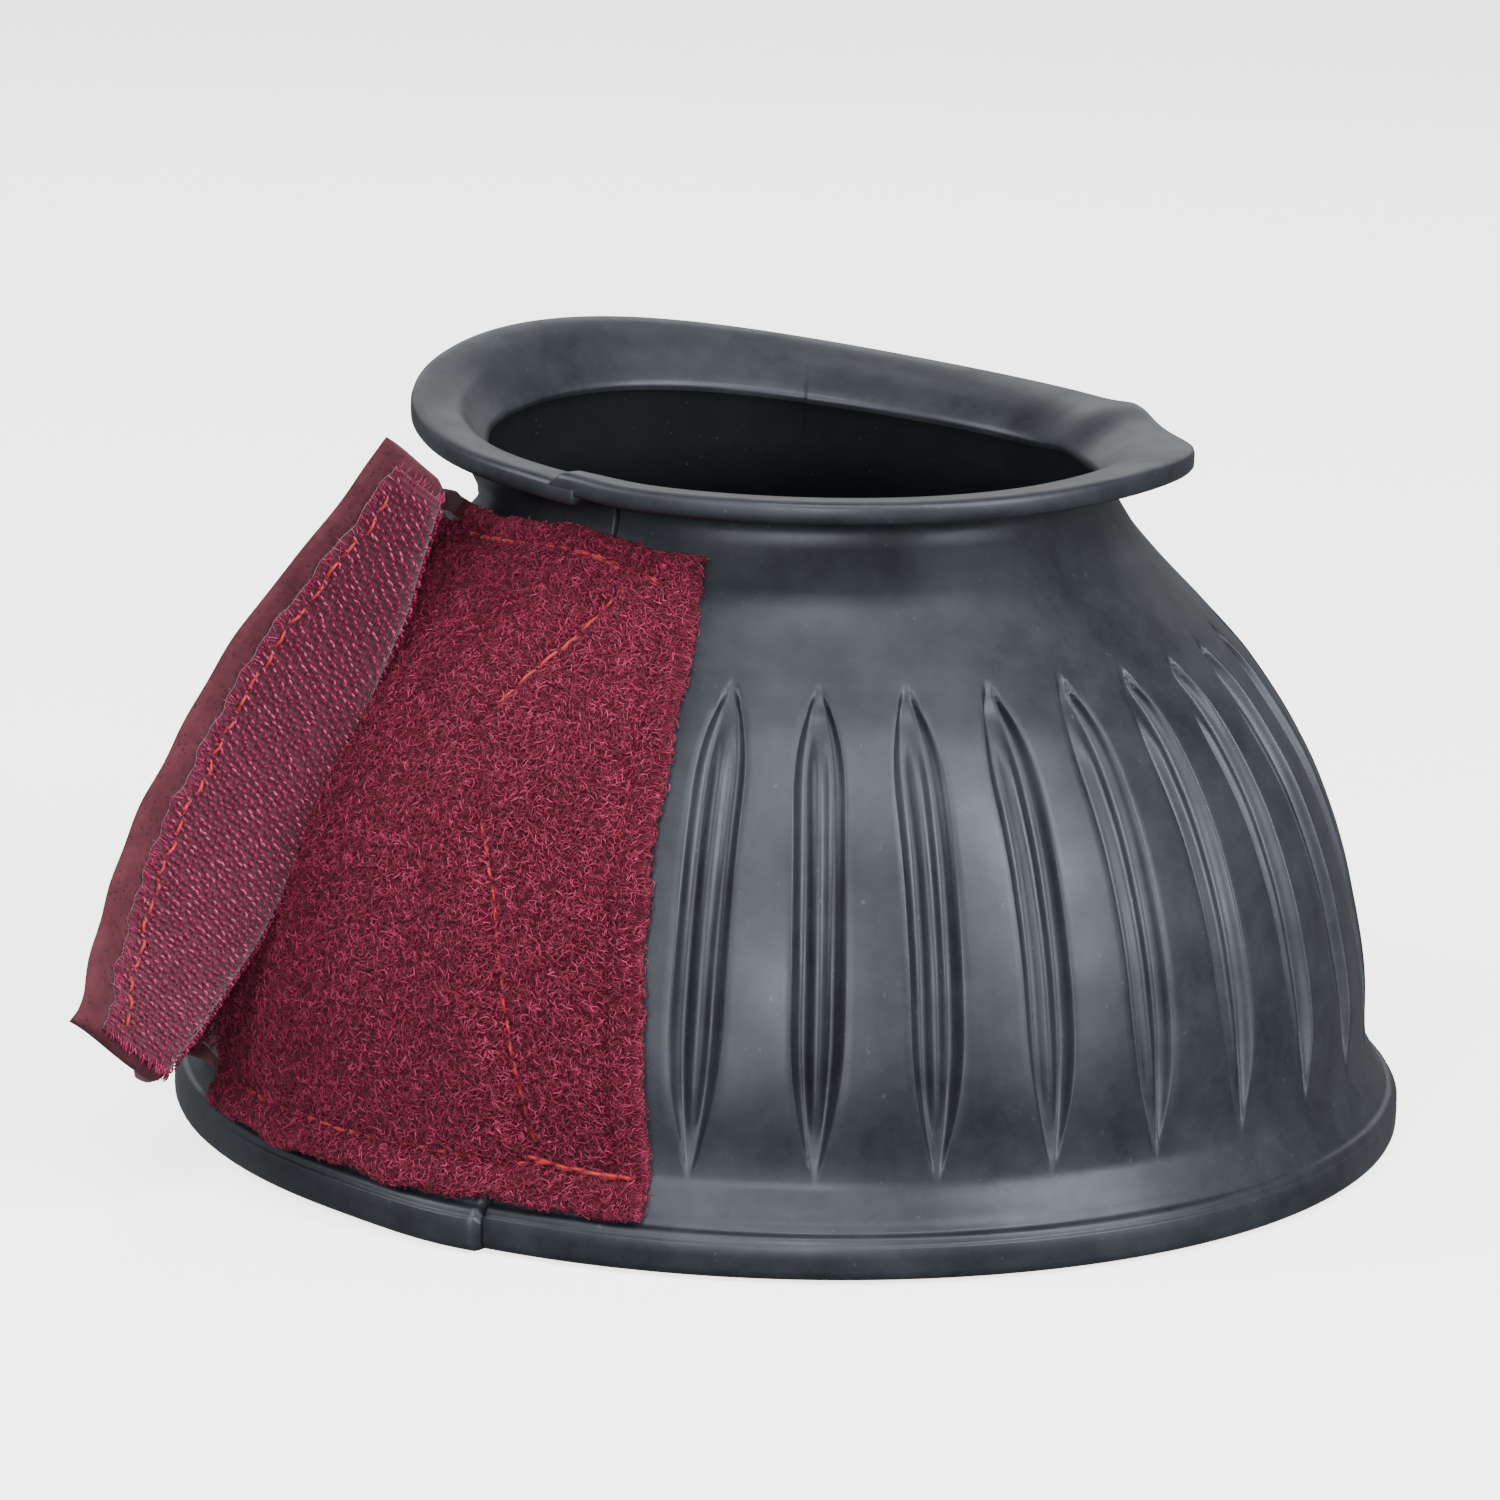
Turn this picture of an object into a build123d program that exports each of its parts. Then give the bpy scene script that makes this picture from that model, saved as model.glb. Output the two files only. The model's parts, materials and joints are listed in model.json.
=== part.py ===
from build123d import *
from math import asin, cos, degrees, radians, sin, sqrt
import os

# A rubber bell boot for a horse's hoof, closed by a felt tab under a hook flap.
# Frame: +Z up along the bell's axis, origin at the centre of the bottom rim, which rests on z = 0.
# Azimuths are in degrees about Z from -Y, positive towards +X. All lengths are in millimetres.

# ---- bell shell
rim_radius = 97.0
rim_height = 6.2
rim_inner_radius = 90.0
throat_radius = 45.0
throat_bottom = 97.0
throat_top = 102.0
lip_radius = 61.4
lip_under = 107.0
lip_thickness = 2.2
# outside of the skirt as (radius, height), from the step above the rim up to the neck
skirt = [
    (94.8, 7.0), (92.4, 10.5), (91.4, 15.0), (91.1, 22.0), (88.3, 38.5),
    (82.4, 55.3), (71.8, 72.1), (55.9, 88.9), (49.8, 96.0), (48.0, 101.0),
]
flare_top = 20.0        # below this height a layer on the skirt is set off straight outwards
wall_thickness = 3.2

# ---- flutes pressed into the skirt
flute_pitch = 11.25
flute_count = 26
first_flute = -8.5
flute_low = 13.0
flute_high = 80.0
flute_half_width = 4.3
flute_depth = 1.3
ridge_margin = 4.0
ridge_half_width = 1.7

# ---- closure: everything here lies on the skirt, in layers set off from its outside
closure_azimuth = -38.0
split_gap = 1.2
base_tape = (0.0, 1.0)
base_thread = (1.0, 1.2)
tab_inner = (1.5, 2.9)
tab_outer = (2.9, 4.3)
tab_thread = (4.3, 4.7)
root_inner = (0.0, 1.4)
root_outer = (1.4, 2.8)
root_thread = (2.8, 3.2)
hook_thread = (5.0, 5.3)
hook_layer = (5.3, 6.5)
backing_layer = (6.5, 8.3)
thread_width = 0.8

# felt panel, as (across, up) on a plane that faces the closure azimuth
panel_low = 8.3
panel_high = 94.3
panel_left = [(-41.0, panel_low), (-39.6, 36.0), (-25.5, panel_high)]
panel_right = [(43.0, panel_low), (19.0, panel_high)]
fold_low = (25.0, panel_low)
fold_high = (3.0, panel_high)
fold_gap = 0.6
seam_inset = 3.6

# outer flap, as it lies when it is closed
flap_fold_azimuth = -54.0
flap_tip_azimuth = -37.5
tape_tip_azimuth = -39.5
flap_low = 10.0
flap_high = 94.0
tape_low = 12.0
tape_high = 91.5
flap_open_angle = 100.0
root_step = 1.5
web_start_azimuth = -71.0
web_step_azimuth = -67.0
web_end_azimuth = -57.5


def azimuth_plane(azimuth):
    """Vertical half plane through the axis: x is the radius, y the height."""
    turn = radians(azimuth)
    return Plane(origin=(0, 0, 0), x_dir=(sin(turn), -cos(turn), 0), z_dir=(-cos(turn), -sin(turn), 0))


def facing_plane(azimuth):
    """Vertical plane through the axis that faces the azimuth: x runs across, y is the height."""
    turn = radians(azimuth)
    return Plane(origin=(0, 0, 0), x_dir=(cos(turn), sin(turn), 0), z_dir=(sin(turn), -cos(turn), 0))


def skirt_points(offset_mm):
    """The skirt's outside, set off along its normal, or straight outwards over the flare."""
    points = []
    for before, here, after in zip([skirt[0]] + skirt[:-1], skirt, skirt[1:] + [skirt[-1]]):
        along_r = after[0] - before[0]
        along_z = after[1] - before[1]
        if here[1] < flare_top:
            points.append((here[0] + offset_mm, here[1]))
        else:
            length = sqrt(along_r ** 2 + along_z ** 2)
            points.append((here[0] + offset_mm * along_z / length, here[1] - offset_mm * along_r / length))
    return points


def skirt_layer(span, start, end, low=0.0, high=120.0):
    """Adds a layer over the skirt between two offsets, two azimuths and two heights."""
    inner = skirt_points(span[0])
    outer = skirt_points(span[1])
    with BuildSketch(azimuth_plane(start)) as section:
        with BuildLine():
            Spline(*outer)
            Spline(*inner)
            Line(inner[0], outer[0])
            Line(inner[-1], outer[-1])
        make_face()
        with Locations((0, (low + high) / 2)):
            Rectangle(400, high - low, mode=Mode.INTERSECT)
    revolve(section.sketch, axis=Axis.Z, revolution_arc=end - start)


def trim_to(outline):
    """Keeps what lies behind an outline on the plane that faces the closure."""
    with BuildSketch(facing_plane(closure_azimuth)) as window:
        with BuildLine():
            Polyline(*outline, close=True)
        make_face()
    extrude(window.sketch, amount=120, mode=Mode.INTERSECT)


def band(points, width):
    """Outline of a band of even width across, along a line of (across, up) points."""
    right = [(x + width / 2, y) for x, y in points]
    left = [(x - width / 2, y) for x, y in reversed(points)]
    return right + left


def fold_at(height):
    share = (height - fold_low[1]) / (fold_high[1] - fold_low[1])
    return fold_low[0] + share * (fold_high[0] - fold_low[0])


def edge_at(side, height):
    """Where a side of the panel is, at a height."""
    for low, high in zip(side, side[1:]):
        if height <= high[1]:
            share = (height - low[1]) / (high[1] - low[1])
            return low[0] + share * (high[0] - low[0])
    return side[-1][0]


def skirt_at(height, offset_mm):
    """Point (radius, height) of a layer's surface nearest a height."""
    points = skirt_points(offset_mm)
    for low, high in zip(points, points[1:]):
        if low[1] <= height <= high[1]:
            share = (height - low[1]) / (high[1] - low[1])
            return low[0] + share * (high[0] - low[0]), height
    return points[-1]


def line_axis(low_azimuth, high_azimuth, low, high, offset_mm):
    """Straight axis over a line that runs up the skirt, just clear of where the skirt bulges most."""
    ends = []
    for azimuth, height in ((low_azimuth, low), (high_azimuth, high)):
        radius, up = skirt_at(height, offset_mm)
        ends.append(Vector(radius * sin(radians(azimuth)), -radius * cos(radians(azimuth)), up))
    along = (ends[1] - ends[0]).normalized()
    middle = radians((low_azimuth + high_azimuth) / 2)
    outward = Vector(sin(middle), -cos(middle), 0)
    outward = (outward - along * outward.dot(along)).normalized()
    bulge = 0.0
    steps = 40
    for step in range(steps + 1):
        share = step / steps
        azimuth = radians(low_azimuth + share * (high_azimuth - low_azimuth))
        radius, up = skirt_at(low + share * (high - low), offset_mm)
        point = Vector(radius * sin(azimuth), -radius * cos(azimuth), up)
        bulge = max(bulge, (point - ends[0]).dot(outward))
    return Axis(origin=ends[0] + outward * bulge, direction=along)


# ---- bell shell: one moulded skirt, split from lip to rim, with its flutes
def shell_section():
    inner = [(radius - wall_thickness, height - wall_thickness / 3) for radius, height in skirt[3:8]]
    with BuildSketch(azimuth_plane(0)) as section:
        with BuildLine():
            Polyline((rim_inner_radius, 0), (rim_radius - 1, 0), (rim_radius, 1.0), (rim_radius, rim_height),
                     (skirt[0][0], rim_height), skirt[0])
            Spline(*skirt)
            Spline(skirt[-1], (49.6, 104.4), (lip_radius, lip_under), tangents=((0, 1), (1, 0.12)))
            Line((lip_radius, lip_under), (lip_radius, lip_under + lip_thickness))
            Spline((lip_radius, lip_under + lip_thickness), (48.4, 106.8), (throat_radius, throat_top),
                   tangents=((-1, -0.12), (0, -1)))
            Line((throat_radius, throat_top), (throat_radius, throat_bottom))
            Spline((throat_radius, throat_bottom), *reversed(inner), (rim_inner_radius, rim_height),
                   tangents=((0, -1), (0, -1)))
            Line((rim_inner_radius, rim_height), (rim_inner_radius, 0))
        make_face()
    return section.sketch


with BuildPart() as flute_ring:
    skirt_layer((-flute_depth, 1.0), -6, 6)
    with BuildSketch(facing_plane(0)) as leaf:
        with BuildLine():
            middle_height = (flute_low + flute_high) / 2
            ThreePointArc((0, flute_low), (flute_half_width, middle_height), (0, flute_high))
            ThreePointArc((0, flute_high), (-flute_half_width, middle_height), (0, flute_low))
        make_face()
    extrude(leaf.sketch, amount=120, mode=Mode.INTERSECT)
    with BuildSketch(facing_plane(0)) as ridge:
        with BuildLine():
            ridge_low = flute_low + ridge_margin
            ridge_high = flute_high - ridge_margin
            ThreePointArc((0, ridge_low), (ridge_half_width, middle_height), (0, ridge_high))
            ThreePointArc((0, ridge_high), (-ridge_half_width, middle_height), (0, ridge_low))
        make_face()
    extrude(ridge.sketch, amount=120, mode=Mode.SUBTRACT)

# the split, from rim to lip, as (across, up); under the tab it runs round the tab's seam
split_line = [(19.0, -2), (19.0, 10), (12.5, 36), (8.0, 50), (-4.5, 69), (2.0, 88), (3.2, 98), (3.8, 114)]
with BuildPart() as bell_shell:
    revolve(shell_section(), axis=Axis.Z, revolution_arc=360)
    flutes = [flute_ring.part.rotate(Axis.Z, first_flute + flute_pitch * n) for n in range(flute_count)]
    add(flutes, mode=Mode.SUBTRACT)
    with BuildSketch(facing_plane(closure_azimuth)) as split_band:
        with BuildLine():
            Polyline(*band(split_line, split_gap), close=True)
        make_face()
    extrude(split_band.sketch, amount=120, mode=Mode.SUBTRACT)
bell_shell.part.label = "bell_shell"

# ---- hook tape sewn flat on the shell's left end, under the tab
tape_outline = [
    (-47.5, 12), (12.5, 12), (7.5, 36), (3.0, 50), (-9.5, 69), (-4.5, 84), (-4.0, 91.5), (-31.0, 91.5), (-45.0, 40),
]
with BuildPart() as base_hook_tape:
    skirt_layer(base_tape, -90, 0)
    trim_to(tape_outline)
base_hook_tape.part.label = "base_hook_tape"

tape_centre = (-16.0, 52.0)
seam_outer = [(x + 2.0 * (tape_centre[0] - x) / 30, y + 2.0 * (tape_centre[1] - y) / 40) for x, y in tape_outline]
seam_inner = [(x + 2.8 * (tape_centre[0] - x) / 30, y + 2.8 * (tape_centre[1] - y) / 40) for x, y in tape_outline]
with BuildPart() as base_stitching:
    skirt_layer(base_thread, -90, 0)
    trim_to(seam_outer)
    with BuildSketch(facing_plane(closure_azimuth)) as hole:
        with BuildLine():
            Polyline(*seam_inner, close=True)
        make_face()
    extrude(hole.sketch, amount=120, mode=Mode.SUBTRACT)
base_stitching.part.label = "base_stitching"


# ---- felt tab: two layers of loop felt, sewn to the shell right of the fold and free left of it
free_outline = panel_left + [
    (fold_high[0] - fold_gap / 2, panel_high), (fold_low[0] - fold_gap / 2, panel_low),
]
root_outline = [
    (fold_low[0] + fold_gap / 2, panel_low), panel_right[0], panel_right[1],
    (fold_high[0] + fold_gap / 2, panel_high),
]
seam_low = panel_low + seam_inset
seam_high = panel_high - seam_inset

with BuildPart() as tab_inner_loop:
    skirt_layer(tab_inner, -90, 0)
    trim_to(free_outline)
tab_inner_loop.part.label = "tab_inner_loop"

with BuildPart() as tab_outer_loop:
    skirt_layer(tab_outer, -90, 0)
    trim_to(free_outline)
tab_outer_loop.part.label = "tab_outer_loop"

with BuildPart() as tab_edge_stitching:
    skirt_layer(tab_thread, -90, 0)
    left_low = edge_at(panel_left, seam_low) + seam_inset
    left_bend = panel_left[1][0] + seam_inset
    left_high = edge_at(panel_left, seam_high) + seam_inset
    run = [
        (fold_at(seam_low) - 1, seam_low), (left_low, seam_low), (left_bend, panel_left[1][1]),
        (left_high, seam_high), (fold_at(seam_high) - 1, seam_high),
    ]
    back = [
        (fold_at(seam_high) - 1, seam_high - thread_width), (left_high + thread_width, seam_high - thread_width),
        (left_bend + thread_width, panel_left[1][1]), (left_low + thread_width, seam_low + thread_width),
        (fold_at(seam_low) - 1, seam_low + thread_width),
    ]
    trim_to(run + back)
tab_edge_stitching.part.label = "tab_edge_stitching"

with BuildPart() as tab_root_inner:
    skirt_layer(root_inner, -60, 10)
    trim_to(root_outline)
tab_root_inner.part.label = "tab_root_inner"

with BuildPart() as tab_root_outer:
    skirt_layer(root_outer, -60, 10)
    trim_to(root_outline)
tab_root_outer.part.label = "tab_root_outer"

with BuildPart() as anchor_stitching:
    skirt_layer(root_thread, -60, 10)
    right_low = edge_at(panel_right, seam_low) - seam_inset
    right_high = edge_at(panel_right, seam_high) - seam_inset
    run = [
        (right_low, seam_low), (fold_at(seam_low) + 2, seam_low),
        (fold_at(seam_high) + 2, seam_high), (right_high, seam_high),
    ]
    back = [
        (right_high, seam_high - thread_width), (fold_at(seam_high) + 2 + thread_width, seam_high - thread_width),
        (fold_at(seam_low) + 2 + thread_width, seam_low + thread_width), (right_low, seam_low + thread_width),
    ]
    trim_to(run + back)
anchor_stitching.part.label = "anchor_stitching"

# ---- outer flap: hook tape sewn on a foam-backed strip, folded open about a line up the skirt
flap_axis = line_axis(flap_fold_azimuth, flap_fold_azimuth, flap_low, flap_high, hook_layer[0])

with BuildPart() as flap_root:
    skirt_layer((root_step, backing_layer[1]), web_start_azimuth, web_step_azimuth, tape_low, tape_high)
    skirt_layer((hook_layer[0] - 0.3, backing_layer[1]), web_step_azimuth, web_end_azimuth, tape_low, tape_high)
flap_root.part.label = "flap_root"

with BuildPart() as closed_tape:
    skirt_layer(hook_layer, flap_fold_azimuth, tape_tip_azimuth, tape_low, tape_high)
with BuildPart() as flap_hook_tape:
    add(closed_tape.part.rotate(flap_axis, -flap_open_angle))
flap_hook_tape.part.label = "flap_hook_tape"

with BuildPart() as closed_backing:
    skirt_layer(backing_layer, flap_fold_azimuth, flap_tip_azimuth, flap_low, flap_high)
with BuildPart() as flap_backing:
    add(closed_backing.part.rotate(flap_axis, -flap_open_angle))
flap_backing.part.label = "flap_backing"

with BuildPart() as closed_thread:
    skirt_layer(hook_thread, tape_tip_azimuth - 1.6, tape_tip_azimuth - 1.0, tape_low + 1, tape_high - 1)
with BuildPart() as flap_stitching:
    add(closed_thread.part.rotate(flap_axis, -flap_open_angle))
flap_stitching.part.label = "flap_stitching"

# the tab peels away from the shell about a line over its fold
tab_azimuths = []
for across, height in (fold_low, fold_high):
    radius, up = skirt_at(height, tab_outer[1])
    tab_azimuths.append(closure_azimuth + degrees(asin(across / radius)))
tab_axis = line_axis(tab_azimuths[0], tab_azimuths[1], panel_low, panel_high, tab_outer[1])

os.makedirs("parts", exist_ok=True)
pieces = [
    bell_shell, base_hook_tape, base_stitching,
    tab_root_inner, tab_root_outer, anchor_stitching,
    tab_inner_loop, tab_outer_loop, tab_edge_stitching,
    flap_root, flap_hook_tape, flap_backing, flap_stitching,
]
for piece in pieces:
    export_step(piece.part, f"parts/{piece.part.label}.step")
print("flap axis", flap_axis)
print("tab axis", tab_axis)
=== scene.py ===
import json
import math

import bpy
import numpy as np
from mathutils import Matrix, Vector


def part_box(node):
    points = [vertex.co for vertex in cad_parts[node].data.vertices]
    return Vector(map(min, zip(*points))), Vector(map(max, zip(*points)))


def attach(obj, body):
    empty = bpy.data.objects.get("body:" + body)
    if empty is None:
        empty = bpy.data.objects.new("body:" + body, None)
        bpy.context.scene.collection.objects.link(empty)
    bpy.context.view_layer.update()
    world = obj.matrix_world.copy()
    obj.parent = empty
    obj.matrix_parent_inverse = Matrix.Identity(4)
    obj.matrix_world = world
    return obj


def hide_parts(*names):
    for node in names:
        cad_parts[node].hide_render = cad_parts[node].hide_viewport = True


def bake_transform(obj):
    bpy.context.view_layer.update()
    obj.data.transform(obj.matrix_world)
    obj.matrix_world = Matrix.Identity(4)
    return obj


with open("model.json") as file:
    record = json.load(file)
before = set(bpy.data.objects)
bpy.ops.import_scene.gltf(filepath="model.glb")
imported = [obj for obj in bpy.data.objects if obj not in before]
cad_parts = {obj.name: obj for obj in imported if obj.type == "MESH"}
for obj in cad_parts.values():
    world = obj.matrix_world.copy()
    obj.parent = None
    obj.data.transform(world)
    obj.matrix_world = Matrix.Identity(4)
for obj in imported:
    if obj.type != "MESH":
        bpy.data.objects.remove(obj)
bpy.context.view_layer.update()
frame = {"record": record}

# A rubber bell boot with its felt tab and its open hook flap.
# Lengths are in millimetres until a mesh is made. Azimuths are in degrees about Z from -Y,
# positive towards +X. "Out" is a distance set off from the outside of the rubber skirt.
MM = 0.001
random = np.random.default_rng(7)


def node_box(node):
    low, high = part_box(node)
    return np.array(low) / MM, np.array(high) / MM


shell_high = node_box("bell_shell")[1]
tape_low = node_box("base_hook_tape")[0][2]
tape_high = node_box("base_hook_tape")[1][2]
felt_low = node_box("tab_outer_loop")[0][2]
felt_high = node_box("tab_outer_loop")[1][2]
joints = {joint["name"]: joint for joint in frame["record"]["behaviour"]["joints"]}


# ---- shape of the bell
SKIRT_Z = [6.5, 7.4, 10.0, 13.0, 17.0, 21.6, 38.5, 55.3, 72.1, 80.0, 88.9, 95.0, 101.0]
SKIRT_R = [95.6, 94.6, 93.2, 91.7, 91.3, 91.2, 88.3, 82.4, 71.8, 64.5, 55.7, 50.6, 48.0]
WALL = 3.2
INSIDE_LEVELS = 22
LIP_TOP = shell_high[2]
FLUTE_PITCH = 11.25
FLUTE_COUNT = 26
FIRST_FLUTE = -8.5
FLUTE_LOW = 12.5
FLUTE_HIGH = 80.5
FLUTE_HALF_WIDTH = 4.05
FLUTE_DEPTH = 2.3
CLOSURE = -38.0
SPLIT_LINE = [(19.0, -2), (19.0, 10), (12.5, 36), (8.0, 50), (-4.5, 69), (2.0, 88), (3.2, 98), (3.8, 122)]


def monotone_curve(xs, ys):
    """A smooth curve through points that keeps between its neighbours' values."""
    xs = np.array(xs, float)
    ys = np.array(ys, float)
    gaps = np.diff(xs)
    slopes = np.diff(ys) / gaps
    tangents = np.zeros(len(xs))
    same_way = slopes[1:] * slopes[:-1] > 0
    left = 2 * gaps[1:] + gaps[:-1]
    right = gaps[1:] + 2 * gaps[:-1]
    before = np.where(same_way, slopes[:-1], 1)
    after = np.where(same_way, slopes[1:], 1)
    mean = (left + right) / (left / before + right / after)
    tangents[1:-1] = np.where(same_way, mean, 0)
    tangents[0] = slopes[0]
    tangents[-1] = slopes[-1]

    def curve(x):
        x = np.clip(x, xs[0], xs[-1])
        i = np.clip(np.searchsorted(xs, x, side="right") - 1, 0, len(xs) - 2)
        t = (x - xs[i]) / gaps[i]
        return (
            ys[i] * (1 + 2 * t) * (1 - t) ** 2 + ys[i + 1] * t * t * (3 - 2 * t)
            + tangents[i] * gaps[i] * t * (1 - t) ** 2 - tangents[i + 1] * gaps[i] * t * t * (1 - t)
        )

    return curve


skirt_radius = monotone_curve(SKIRT_Z, SKIRT_R)


def ease(t):
    t = np.clip(t, 0, 1)
    return t * t * (3 - 2 * t)


def bump(x, centre, width):
    return np.exp(-(((x - centre) / width) ** 2) / 2)


def polar(azimuth, radius, height):
    turn = np.radians(azimuth)
    x, y, z = np.broadcast_arrays(radius * np.sin(turn), -radius * np.cos(turn), height)
    return np.stack([x, y, z], -1)


def unit(v):
    return v / np.maximum(np.linalg.norm(v, axis=-1, keepdims=True), 1e-9)


def on_skirt(azimuth, height, out):
    """Points set off from the skirt along its normal, or straight outwards over the flare."""
    azimuth, height, out = np.broadcast_arrays(np.asarray(azimuth, float), height, out)
    slope = (skirt_radius(height + 0.5) - skirt_radius(height - 0.5)) * ease((height - 12) / 10)
    length = np.sqrt(1 + slope ** 2)
    return polar(azimuth, skirt_radius(height) + out / length, height - out * slope / length)


def across_to_azimuth(across, height, out=2.0):
    """Azimuth of a point that lies across the plane facing the closure."""
    return CLOSURE + np.degrees(np.arcsin(across / (skirt_radius(height) + out)))


def along(points, height):
    """Across value of a line of (across, up) points at a height."""
    return np.interp(height, [p[1] for p in points], [p[0] for p in points])


def turned(points, joint, degrees):
    """Points turned about a joint's axis."""
    origin = np.array(joints[joint]["pos_m"]) / MM
    axis = unit(np.array(joints[joint]["axis"], float))
    turn = math.radians(degrees)
    rel = points - origin
    swung = np.cross(np.broadcast_to(axis, rel.shape), rel)
    along_axis = axis * (rel @ axis)[..., None]
    return origin + rel * math.cos(turn) + swung * math.sin(turn) + along_axis * (1 - math.cos(turn))


# ---- mesh makers
def new_object(name, verts, faces, material, uvs=None):
    mesh = bpy.data.meshes.new(name)
    mesh.from_pydata((np.asarray(verts).reshape(-1, 3) * MM).tolist(), [], faces)
    if uvs is not None:
        layer = mesh.uv_layers.new(name="lay")
        index = np.empty(len(mesh.loops), dtype=np.int32)
        mesh.loops.foreach_get("vertex_index", index)
        layer.data.foreach_set("uv", (np.asarray(uvs).reshape(-1, 2)[index] * MM * 10).ravel())
    mesh.polygons.foreach_set("use_smooth", np.full(len(mesh.polygons), True))
    mesh.materials.append(material)
    mesh.validate()
    obj = bpy.data.objects.new(name, mesh)
    bpy.context.scene.collection.objects.link(obj)
    return obj


def grid_faces(rows, columns, start=0, flip=False):
    i = np.arange(rows - 1)[:, None] * columns + np.arange(columns - 1)[None, :] + start
    quads = np.stack([i, i + 1, i + columns + 1, i + columns], -1).reshape(-1, 4)
    return quads[:, ::-1] if flip else quads


def slab(name, top, bottom, material, uvs):
    """A closed sheet between two grids of points."""
    rows, columns = top.shape[:2]
    count = rows * columns
    ids = np.arange(count).reshape(rows, columns)
    edge = np.concatenate([ids[0, :], ids[1:, -1], ids[-1, -2::-1], ids[-2:0:-1, 0]])
    ahead = np.roll(edge, -1)
    sides = np.stack([edge, edge + count, ahead + count, ahead], -1)
    faces = np.concatenate([grid_faces(rows, columns), grid_faces(rows, columns, count, True), sides])
    return new_object(
        name, np.concatenate([top.reshape(-1, 3), bottom.reshape(-1, 3)]), faces.tolist(),
        material, np.concatenate([uvs.reshape(-1, 2)] * 2),
    )


def strands(name, paths, normals, radii, material, sides=3):
    """Closed threads along short paths (count, points, 3), pointed at both ends."""
    count, points = paths.shape[:2]
    tangents = unit(np.gradient(paths, axis=1))
    first = unit(np.cross(tangents, np.broadcast_to(normals[:, None, :], tangents.shape)))
    second = np.cross(tangents, first)
    turns = np.arange(sides) * 2 * math.pi / sides
    radii = np.broadcast_to(radii, (count, points))[:, 1:-1]
    ring = first[:, 1:-1, None] * np.cos(turns)[:, None] + second[:, 1:-1, None] * np.sin(turns)[:, None]
    rings = paths[:, 1:-1, None] + ring * radii[:, :, None, None]
    per = (points - 2) * sides + 2
    verts = np.concatenate([paths[:, :1], rings.reshape(count, -1, 3), paths[:, -1:]], 1)
    faces = []
    for k in range(sides):
        after = (k + 1) % sides
        faces.append([0, 1 + after, 1 + k, 1 + k])
        for level in range(points - 3):
            low = 1 + level * sides
            faces.append([low + k, low + after, low + sides + after, low + sides + k])
        top = 1 + (points - 3) * sides
        faces.append([top + k, top + after, per - 1, per - 1])
    faces = np.array(faces)[None] + (np.arange(count) * per)[:, None, None]
    listed = [[f[0], f[1], f[2]] if f[2] == f[3] else f for f in faces.reshape(-1, 4).tolist()]
    return new_object(name, verts, listed, material)


# ---- materials
def set_inputs(made, values):
    for name, value in values.items():
        made.inputs[name].default_value = value


def new_material(name, colour, roughness):
    material = bpy.data.materials.new(name)
    material.use_nodes = True
    shader = material.node_tree.nodes["Principled BSDF"]
    set_inputs(shader, {"Base Color": (*colour, 1), "Roughness": roughness})
    return material, material.node_tree, shader


def node(tree, kind, **values):
    made = tree.nodes.new("ShaderNode" + kind)
    for key, value in values.items():
        if key in made.bl_rna.properties:
            setattr(made, key, value)
        else:
            made.inputs[key.replace("_", " ")].default_value = value
    return made


def noise(tree, scale, detail=4.0, roughness=0.5):
    source = node(tree, "TexCoord")
    made = node(tree, "TexNoise", Scale=scale, Detail=detail, Roughness=roughness)
    tree.links.new(source.outputs["Object"], made.inputs["Vector"])
    return made.outputs["Fac"]


def ramp(tree, value, stops):
    made = node(tree, "ValToRGB")
    elements = made.color_ramp.elements
    while len(elements) < len(stops):
        elements.new(0.5)
    for element, (place, colour) in zip(elements, stops):
        element.position = place
        element.color = (*colour, 1)
    tree.links.new(value, made.inputs["Fac"])
    return made.outputs["Color"]


def math_node(tree, operation, a, b=0.5):
    made = node(tree, "Math", operation=operation)
    for socket, value in zip(made.inputs, (a, b)):
        if isinstance(value, (int, float)):
            socket.default_value = value
        else:
            tree.links.new(value, socket)
    return made.outputs["Value"]


def add_bump(tree, shader, height, strength, distance_mm, before=None):
    made = node(tree, "Bump", Strength=strength, Distance=distance_mm * MM)
    tree.links.new(height, made.inputs["Height"])
    if before is not None:
        tree.links.new(before.outputs["Normal"], made.inputs["Normal"])
    tree.links.new(made.outputs["Normal"], shader.inputs["Normal"])
    return made


def blend_colours(tree, first, second, kind, factor):
    mix = node(tree, "Mix", data_type="RGBA", blend_type=kind)
    mix.inputs["Factor"].default_value = factor
    tree.links.new(first, mix.inputs["A"])
    tree.links.new(second, mix.inputs["B"])
    return mix.outputs["Result"]


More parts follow.
